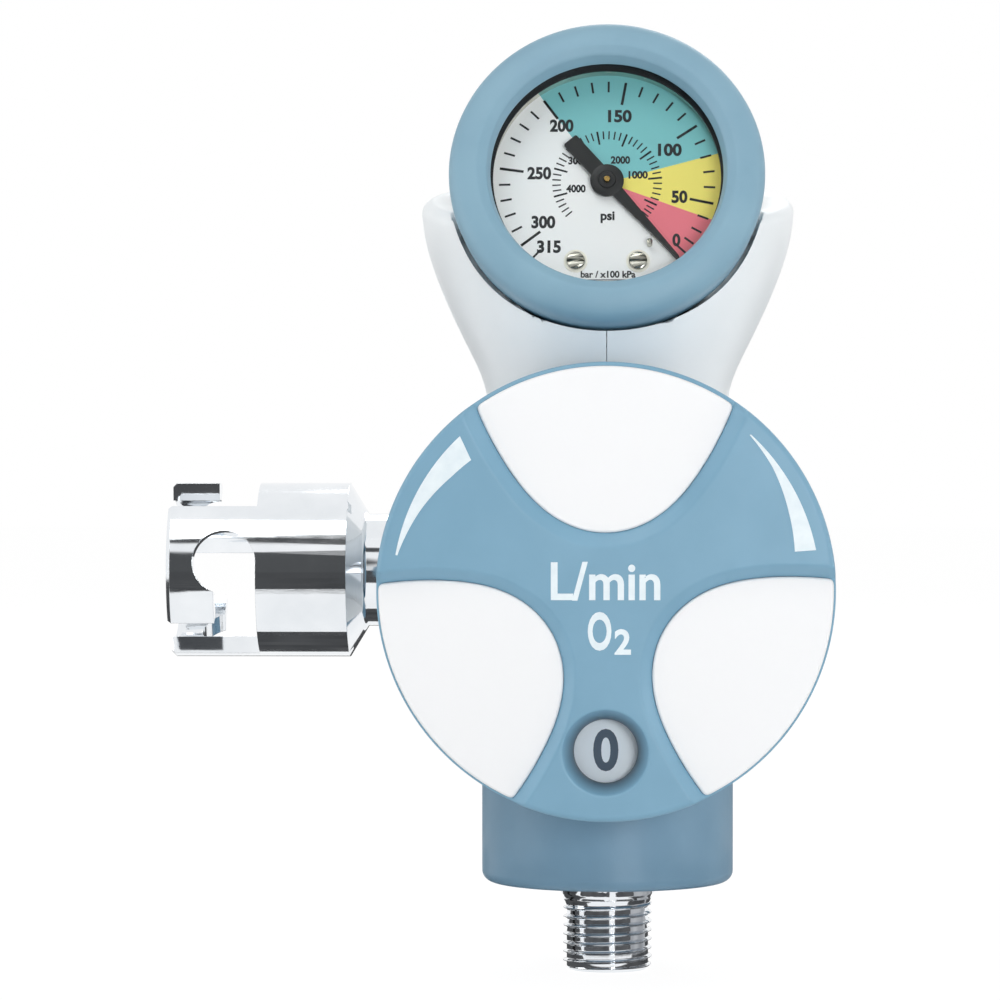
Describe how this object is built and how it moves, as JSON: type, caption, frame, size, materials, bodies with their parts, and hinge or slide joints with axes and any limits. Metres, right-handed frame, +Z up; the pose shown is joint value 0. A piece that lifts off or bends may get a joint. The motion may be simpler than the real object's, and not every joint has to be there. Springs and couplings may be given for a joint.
{
  "type": "oxygen regulator",
  "caption": "Cylinder regulator: round three-armed flow knob, tilted pressure gauge in a flared shell, threaded outlet pointing down, bayonet quick outlet at the side, nut inlet behind",
  "frame": {"origin": "middle of the inlet nut's thread, on the axis that the knob and the inlet share", "axes": "+Y points out of the inlet towards the cylinder valve, +Z up towards the gauge, the knob faces -Y, the quick outlet points to -X"},
  "size_m": [0.105, 0.114, 0.151],
  "materials": {
    "blue_plastic": "fine satin moulding",
    "white_plastic": "satin moulding",
    "grip_white": "smooth satin insert",
    "chrome": "bright plated",
    "brass": "machined",
    "steel": "turned",
    "silver_plate": "satin anodised plate",
    "aluminium": "machined",
    "seal": "moulded",
    "bearing_plastic": "machined",
    "dial_paint": "printed enamel",
    "black_paint": "matt",
    "clear": "clear polished"
  },
  "bodies": {
    "regulator": {"body_block": "brass", "valve_seat": "brass", "poppet_spring": "steel", "piston_spring": "steel", "outlet_spigot": "chrome", "outlet_o_ring": "seal", "outlet_screws": "steel", "gallery_plug": "steel", "skirt": "blue_plastic", "skirt_screws": "steel", "inlet_stem": "chrome", "bullnose_o_ring": "seal", "inlet_filter": "brass", "selector_housing": "aluminium", "selector_screws": "steel", "flow_dial": "silver_plate", "selector_seal": "bearing_plastic", "thrust_washer": "bearing_plastic", "detent_spring": "steel", "shell_left": "white_plastic", "shell_right": "white_plastic", "shell_screws": "steel", "quick_sleeve": "chrome", "socket_seal": "seal", "quick_spring": "steel", "spring_retainer": "brass", "relief_spring": "steel", "relief_cap": "brass", "gauge_case": "steel", "gauge_socket": "brass", "bourdon_tube": "brass", "movement_back_plate": "brass", "movement_front_plate": "brass", "movement_pillars": "brass", "gauge_dial": "dial_paint", "dial_screws": "brass", "stop_pin": "steel", "gauge_window": "clear", "window_spacer": "bearing_plastic", "gauge_bezel": "blue_plastic"},
    "flow_knob": {"knob_body": "blue_plastic", "grip_insert_1": "grip_white", "grip_insert_2": "grip_white", "grip_insert_3": "grip_white", "selector_shaft": "steel", "orifice_disc": "brass", "shaft_o_ring": "seal"},
    "coupling_nut": {"inlet_nut": "chrome"},
    "needle": {"pointer": "black_paint", "pointer_spindle": "brass"},
    "sector": {"sector_gear": "brass"},
    "link": {"gauge_link": "brass"},
    "main_piston": {"piston": "aluminium", "piston_o_ring": "seal"},
    "supply_poppet": {"valve_poppet": "brass"},
    "outlet_poppet": {"quick_poppet": "brass"},
    "relief": {"relief_poppet": "brass"},
    "ball": {"detent_ball": "steel"}
  },
  "joints": [
    {"name": "knob_turn", "type": "hinge", "parent": "regulator", "child": "flow_knob", "pos_m": [0, -0.098, 0], "axis": [0, 1, 0], "range_deg": [0, 330]},
    {"name": "nut_spin", "type": "hinge", "parent": "regulator", "child": "coupling_nut", "pos_m": [0, 0, 0], "axis": [0, 1, 0], "continuous": true},
    {"name": "needle_sweep", "type": "hinge", "parent": "regulator", "child": "needle", "pos_m": [0, -0.07319, 0.0636], "axis": [0, -0.9537, 0.3007], "range_deg": [0, 280.8], "deforming": ["bourdon_tube"]},
    {"name": "sector_swing", "type": "hinge", "parent": "regulator", "child": "sector", "pos_m": [-0.0081, -0.06937, 0.06239], "axis": [0, -0.9537, 0.3007], "range_deg": [-35.12, 0]},
    {"name": "link_swing", "type": "hinge", "parent": "sector", "child": "link", "pos_m": [-0.0113, -0.07004, 0.0626], "axis": [0, -0.9537, 0.3007], "range_deg": [0, 35.12]},
    {"name": "piston_slide", "type": "slide", "parent": "regulator", "child": "main_piston", "axis": [0, 0, 1], "range_m": [-0.00038, 0], "stiffness_N_per_m": 20000, "springref_m": 0.001, "deforming": ["piston_spring"]},
    {"name": "supply_poppet_slide", "type": "slide", "parent": "regulator", "child": "supply_poppet", "axis": [0, 0, 1], "range_m": [-0.0004, 0], "deforming": ["poppet_spring"]},
    {"name": "outlet_poppet_slide", "type": "slide", "parent": "regulator", "child": "outlet_poppet", "axis": [1, 0, 0], "range_m": [0, 0.003], "stiffness_N_per_m": 1500, "springref_m": -0.002, "deforming": ["quick_spring"]},
    {"name": "relief_slide", "type": "slide", "parent": "regulator", "child": "relief", "axis": [1, 0, 0], "range_m": [0, 0.0008], "stiffness_N_per_m": 3000, "springref_m": -0.001, "deforming": ["relief_spring"]},
    {"name": "detent_slide", "type": "slide", "parent": "regulator", "child": "ball", "axis": [0, 1, 0], "range_m": [0, 0.0005], "stiffness_N_per_m": 1000, "springref_m": 0.001, "deforming": ["detent_spring"]}
  ],
  "couplings": [
    {"joint": "sector_swing", "follows": "needle_sweep", "ratio": -0.125},
    {"joint": "link_swing", "follows": "needle_sweep", "ratio": 0.125},
    {"joint": "supply_poppet_slide", "follows": "piston_slide", "ratio": 1}
  ]
}
